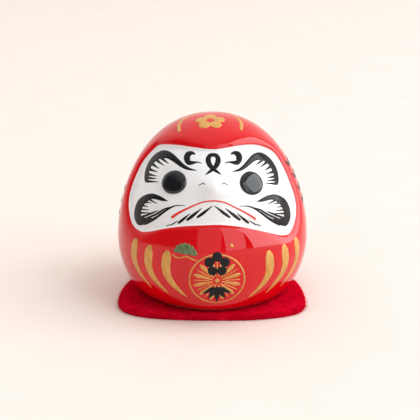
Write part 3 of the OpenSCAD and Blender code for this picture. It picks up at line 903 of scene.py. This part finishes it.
def paint_roundel():
    middle = (0, ROUNDEL_Z)
    place = on_robe(ROUNDEL_ANGLE)
    gold("roundel_ring_line", "roundel_ring", [circle(middle, ROUNDEL_R, 160)], place,
         holes=[circle(middle, ROUNDEL_R - RING_W, 150)], thickness=ROUNDEL_T)
    petal = stroke([(0, v * ROUNDEL_R, w * PETAL_W) for _, v, w in PETAL])
    ray = hair((0, 0.3 * ROUNDEL_R), (0, 0.8 * ROUNDEL_R), RAY_W, RAY_W)
    step = 360 / PETALS
    outlines = [turn_about(petal, step * (i + 0.5), middle) for i in range(PETALS)]
    outlines += [turn_about(ray, step * i, middle) for i in range(PETALS)]
    gold("roundel_petal_strokes", "roundel_petals_gold", outlines, place, thickness=ROUNDEL_T)
    gold("roundel_centre_lozenge", "roundel_centre", [circle(middle, LOZENGE_R, 4)], place,
         thickness=ROUNDEL_T)
    black("plum_blossom_ink", "plum_blossom",
          blossom(BLOSSOM_SIZE, (0, ROUNDEL_Z + BLOSSOM_DZ)), place)
    leaves = [leaf(length, LEAF_W, angle, (0, ROUNDEL_Z + LEAVES_DZ))
              for angle, length in zip(LEAF_ANGLES, LEAF_LENGTHS)]
    black("bamboo_leaf_ink", "bamboo_leaves", leaves, place)


def paint_pine():
    place = on_robe(PINE_ANGLE)
    needles = []
    for u, z in NEEDLES:
        halfway = ((u + PINE_FOOT[0]) / 2, (z + PINE_FOOT[1]) / 2)
        needles.append(stroke([(*PINE_FOOT, 0.5), (*halfway, 0.85), (u, z, 1.35)]))
    painted("pine_needle_strokes", ["pine_needles"], needles, place, GREEN, "green_enamel")
    gold("pine_twig_stroke", "pine_twig", [stroke(TWIG)], place)
    gold("gold_fleck_touch", "gold_fleck", [stroke(FLECK)], on_robe(ROUNDEL_ANGLE))


def paint_crown():
    for side, sign in SIDES:
        arc = [(CROWN_ARC_R * math.cos(math.radians(a)), CROWN_ARC_R * math.sin(math.radians(a)), w)
               for a, w in CROWN_ARC]
        gold(f"{side}_crown_arc_stroke", f"{side}_crown_arc",
             [stroke(arc, mirror=sign < 0) + CROWN_MIDDLE], on_crown)
    gold("crown_blossom_petals", "crown_blossom", blossom(CROWN_BLOSSOM, CROWN_MIDDLE), on_crown)


def paint_sides():
    for side in SIDE_ANGLES:
        leaves = [leaf(*SIDE_LEAF, lean, (0, z)) for z in SIDE_LEAVES[side]
                  for lean in (-SIDE_LEAN, SIDE_LEAN)]
        black(f"{side}_side_leaf_strokes", f"{side}_side_leaves", leaves, on_robe(SIDE_ANGLES[side]))


# ---- Felt mat ----

MAT_HALF_W = (MAT_HIGH[0] - MAT_LOW[0]) / 2
MAT_HALF_D = (MAT_HIGH[1] - MAT_LOW[1]) / 2
# The mat is widest this far along Y: squarish in front of there, and oval behind
MAT_WIDE_Y = -14.0
FRONT_POWER = 2.6
BACK_POWER = 2
MAT_SPOKES = 420
MAT_RINGS = 72


def mat_outline(turn):
    """The cut edge: a squarish oval, not quite even, as scissors leave it."""
    c, s = np.cos(turn), np.sin(turn)
    wobble = 1 - 0.004 * (1 + np.sin(3 * turn + 0.6)) - 0.003 * (1 + np.sin(7 * turn + 2.1))
    power = np.where(s < 0, FRONT_POWER, BACK_POWER)
    depth = MAT_HALF_D + np.sign(-s) * MAT_WIDE_Y
    x = MAT_HALF_W * np.sign(c) * np.abs(c) ** (2 / power) * wobble
    y = (MAT_WIDE_Y + depth * np.sign(s) * np.abs(s) ** (2 / power)) * wobble
    return x, y


def even_turns():
    """Angles that give points evenly spaced along the cut edge."""
    fine = np.linspace(0, 2 * math.pi, 8000)
    x, y = mat_outline(fine)
    length = np.concatenate([[0], np.cumsum(np.hypot(np.diff(x), np.diff(y)))])
    return np.interp(np.linspace(0, length[-1], MAT_SPOKES, endpoint=False), length, fine)


def lumps(x, y, seed, waves=60, shortest=0.9, longest=5.0):
    """A smooth random height field made of many small waves, from about -1 to 1."""
    rng = np.random.default_rng(seed)
    total = np.zeros_like(x)
    for _ in range(waves):
        length = rng.uniform(shortest, longest)
        heading, phase = rng.uniform(0, 2 * math.pi, 2)
        total += np.sin((x * math.cos(heading) + y * math.sin(heading)) * 2 * math.pi / length + phase)
    return total / math.sqrt(waves)


# The felt's face lies this far below the CAD's, so that its lumps end at about that height
FELT_DIP = 0.12
# Heights of the broad and the fine lumps, and how far any of them may pass the CAD's face
BROAD_LUMPS = 0.07
FINE_LUMPS = 0.05
TALLEST_LUMP = 0.3
# The felt is pressed flat this far beside the foot, and its lumps return over the next width
PRESSED_BESIDE = 0.5
PRESSED_FADE = 3
# Bulge of the cut edge, in half widths of the mat, and how much of its height is round
EDGE_BULGE = 0.012
EDGE_FULLNESS = 0.9


def felt_profile():
    """Reach and level of each ring, from 0 to 1: the face, the cut edge and the underside."""
    reach = np.linspace(0, 1, MAT_RINGS + 1)[1:] ** 0.8
    face = [(r, 1.0) for r in reach]
    edge = [(1 + EDGE_BULGE * math.sin(a), 0.5 + 0.5 * math.cos(a) * EDGE_FULLNESS)
            for a in np.linspace(0, math.pi, 9)[1:-1]]
    underside = [(r, 0.0) for r in reach[::-1]]
    return face + edge + underside


def felt_ring(x, y, level):
    """Places of one ring of the felt, with lumps where it is part of the face."""
    bumpy = BROAD_LUMPS * lumps(x, y, 7) + FINE_LUMPS * lumps(x, y, 11, 50, 0.5, 1.2)
    loose = np.clip((np.hypot(x, y) - FOOT_R - PRESSED_BESIDE) / PRESSED_FADE, 0, 1)
    z = MAT_T * level + np.where(level > 0.5, -FELT_DIP + bumpy * loose, 0)
    return np.stack([x, y, np.clip(z, 0, MAT_T + TALLEST_LUMP)], 1)


def felt_mat():
    """Pressed felt: a dense sheet with a lumpy face and a soft, cut edge."""
    x_edge, y_edge = mat_outline(even_turns())
    profile = felt_profile()
    rows = [felt_ring(x_edge * reach, y_edge * reach, level) for reach, level in profile]
    ring = np.array(rows)
    n = MAT_SPOKES
    places = np.vstack([[(0, 0, MAT_T - FELT_DIP)], ring.reshape(-1, 3), [(0, 0, 0)]])
    faces = [(0, 1 + i, 1 + (i + 1) % n) for i in range(n)]
    for row in range(len(profile) - 1):
        start = 1 + row * n
        faces += [(start + i, start + n + i, start + n + (i + 1) % n, start + (i + 1) % n)
                  for i in range(n)]
    last = len(places) - 1
    start = last - n
    faces += [(last, start + (i + 1) % n, start + i) for i in range(n)]
    return make_piece("felt_mat_cloth", places, faces, FELT, "mat", ["felt_mat"])


FIBRES = 9000
FIBRES_ON_EDGE = 0.45
FIBRE_LENGTHS = (0.4, 1.6)
FIBRE_HALF_WIDTHS = (0.03, 0.07)
FIBRE_ROWS = 4
# Heights that the fibres stay between
FIBRE_LOW = 0.02
FIBRE_HIGH = MAT_T + 0.35


def fibre_roots(rng):
    """Where each fibre grows, which way is outward there, and whether it is on the cut edge."""
    turns = rng.uniform(0, 2 * math.pi, FIBRES)
    x_edge, y_edge = mat_outline(turns)
    on_edge = rng.random(FIBRES) < FIBRES_ON_EDGE
    reach = np.where(on_edge, 1.0, np.sqrt(rng.uniform(0.3, 1.0, FIBRES)))
    height = np.where(on_edge, rng.uniform(0.2, MAT_T - 0.2, FIBRES), MAT_T - 0.15)
    root = np.stack([x_edge * reach, y_edge * reach, height], 1)
    outward = np.stack([np.cos(turns), np.sin(turns), np.zeros(FIBRES)], 1)
    return root, outward, on_edge


def fibre_headings(rng, outward, on_edge):
    """Directions of the fibres: never down on the face, and mostly outward on the cut edge."""
    heading = rng.normal(size=(FIBRES, 3)) * (1, 1, 0.25)
    heading[~on_edge, 2] = np.abs(heading[~on_edge, 2])
    heading += outward * on_edge[:, None] * 1.1
    return heading / np.linalg.norm(heading, axis=1)[:, None]


def felt_fibres():
    """Loose fibres that stand off the felt's face and cut edge, each a thin tapering ribbon."""
    rng = np.random.default_rng(5)
    root, outward, on_edge = fibre_roots(rng)
    heading = fibre_headings(rng, outward, on_edge)
    bend = rng.normal(size=(FIBRES, 3)) * (0.5, 0.5, 0.15)
    length = rng.uniform(*FIBRE_LENGTHS, FIBRES)[:, None]
    width = rng.uniform(*FIBRE_HALF_WIDTHS, FIBRES)[:, None]
    side = np.cross(heading, (0, 0, 1.0))
    side /= np.linalg.norm(side, axis=1)[:, None] + 1e-9
    rows = []
    for t in np.linspace(0, 1, FIBRE_ROWS):
        line = root + heading * length * t + bend * length * t**2 * 0.5
        taper = width * (1 - 0.7 * t)
        rows += [line - side * taper, line + side * taper]
    places = np.array(rows)
    places[..., 2] = np.clip(places[..., 2], FIBRE_LOW, FIBRE_HIGH)
    faces = []
    for k in range(FIBRE_ROWS - 1):
        for i in range(FIBRES):
            a = 2 * k * FIBRES + i
            b = a + FIBRES
            faces.append((a, b, b + 2 * FIBRES, a + 2 * FIBRES))
    return make_piece("felt_fibres", places.reshape(-1, 3), faces, FELT, "mat", [])


# ---- Studio ----

CAMERA_ELEVATION = 18.0
CAMERA_DISTANCE = 400.0
LENS = 93.2
SENSOR_W = 36
DOLL_MIDDLE = Vector((0, 0, 35.0))
# The camera looks a little left of the doll's middle and a little below it
AIM_ACROSS = -0.85
AIM_UP = -3.2


def direction(azimuth, elevation):
    """Unit vector from the object: azimuth 0 is the face's side and 90 is +X."""
    a, e = math.radians(azimuth), math.radians(elevation)
    return Vector((math.sin(a) * math.cos(e), -math.cos(a) * math.cos(e), math.sin(e)))


def look_at(obj, target):
    """Turns a camera or a lamp to face a place."""
    obj.rotation_euler = (target - obj.location).to_track_quat("-Z", "Y").to_euler()


def make_camera():
    e = math.radians(CAMERA_ELEVATION)
    up = Vector((0, math.sin(e), math.cos(e)))
    data = bpy.data.cameras.new("camera")
    data.lens = LENS
    data.sensor_width = SENSOR_W
    data.clip_start = 0.01
    data.clip_end = 20
    camera = bpy.data.objects.new("camera", data)
    camera.location = (DOLL_MIDDLE + direction(0, CAMERA_ELEVATION) * CAMERA_DISTANCE) * MM
    bpy.context.scene.collection.objects.link(camera)
    look_at(camera, (DOLL_MIDDLE + Vector((AIM_ACROSS, 0, 0)) + up * AIM_UP) * MM)
    bpy.context.scene.camera = camera


# Lamps: name, azimuth, elevation, width and height in metres, power in watts, and colour.
# These three are only mirrored by the glazes
MIRRORED_LAMPS = [
    ("window", 79, 24, (3.6, 2.7), 130.0, (0.94, 0.98, 1.0)),
    ("side_board", 28, 22, (1.35, 2.4), 22.0, (0.98, 0.98, 1.0)),
    ("front_board", -4, 22, (1.5, 2.4), 8.0, (0.92, 0.98, 1.0)),
]
# These two only light the surfaces, and are not mirrored
LIGHTING_LAMPS = [
    ("daylight", 76, 40, (3.0, 3.0), 92.0, (0.95, 0.98, 1.0)),
    ("room_fill", -35, 40, (3.0, 3.0), 17.0, (1.0, 0.97, 0.95)),
]
LAMP_DISTANCE = 3.0


def area_lamp(name, azimuth, elevation, size, power, colour, mirrored):
    """A rectangular lamp that faces the doll."""
    data = bpy.data.lights.new(name, "AREA")
    data.shape = "RECTANGLE"
    data.size, data.size_y = size
    data.energy = power
    data.color = colour
    lamp = bpy.data.objects.new(name, data)
    lamp.location = direction(azimuth, elevation) * LAMP_DISTANCE + DOLL_MIDDLE * MM
    look_at(lamp, DOLL_MIDDLE * MM)
    lamp.visible_diffuse = not mirrored
    lamp.visible_glossy = mirrored
    bpy.context.scene.collection.objects.link(lamp)


# The room's light from in front of the doll, from behind it and from overhead
DIM = (0.12, 0.13, 0.145)
PALE = (1.0, 0.95, 0.90)
OVERHEAD = (1.15, 1.14, 1.13)
SKY_STRENGTH = 1.0
# The mix node's colour sockets, whose names are not unique
MIX_FIRST, MIX_SECOND, MIX_RESULT = 6, 7, 2


def sky_gradient(tree):
    """A pale room: bright behind the doll and overhead, dim in front of it below the ceiling."""
    place = tree.nodes.new("ShaderNodeTexCoord")
    split = tree.nodes.new("ShaderNodeSeparateXYZ")
    tree.links.new(place.outputs["Generated"], split.inputs["Vector"])
    behind = colour_ramp(tree, split.outputs["Y"], [(0.0, DIM), (0.35, PALE)])
    above = tree.nodes.new("ShaderNodeMapRange")
    above.inputs["From Min"].default_value = 0.55
    above.inputs["From Max"].default_value = 1.0
    tree.links.new(split.outputs["Z"], above.inputs["Value"])
    mix = tree.nodes.new("ShaderNodeMix")
    mix.data_type = "RGBA"
    tree.links.new(above.outputs["Result"], mix.inputs["Factor"])
    tree.links.new(behind, mix.inputs[MIX_FIRST])
    mix.inputs[MIX_SECOND].default_value = (*OVERHEAD, 1)
    return mix.outputs[MIX_RESULT]


def make_sky():
    world = bpy.data.worlds.new("studio")
    world.use_nodes = True
    backdrop = world.node_tree.nodes["Background"]
    backdrop.inputs["Strength"].default_value = SKY_STRENGTH
    world.node_tree.links.new(sky_gradient(world.node_tree), backdrop.inputs["Color"])
    bpy.context.scene.world = world
    bpy.context.scene.view_settings.view_transform = "Standard"


def make_lamps():
    for lamp in MIRRORED_LAMPS:
        area_lamp(*lamp, mirrored=True)
    for lamp in LIGHTING_LAMPS:
        area_lamp(*lamp, mirrored=False)


# The floor reaches this far each way, in metres
FLOOR_REACH = 4


def make_floor():
    """Pale paper under the mat."""
    r = FLOOR_REACH
    mesh = bpy.data.meshes.new("floor")
    mesh.from_pydata([(-r, -r, 0), (r, -r, 0), (r, r, 0), (-r, r, 0)], [], [(0, 1, 2, 3)])
    mat, tree, shader = new_material("floor_paper", (0.82, 0.72, 0.66), 0.9)
    grain = object_noise(tree, 40, 4)
    shade = colour_ramp(tree, grain, [(0.3, (0.81, 0.715, 0.655)), (0.7, (0.83, 0.735, 0.675))])
    tree.links.new(shade, shader.inputs["Base Color"])
    mesh.materials.append(mat)
    floor = bpy.data.objects.new("floor", mesh)
    bpy.context.scene.collection.objects.link(floor)


make_camera()
make_sky()
make_lamps()
make_floor()
clay_body()
white_face()
red_glaze()
for side in EYES:
    eye(side)
paint_face()
paint_folds()
paint_roundel()
paint_pine()
paint_crown()
paint_sides()
cloth = felt_mat()
fibres = felt_fibres()
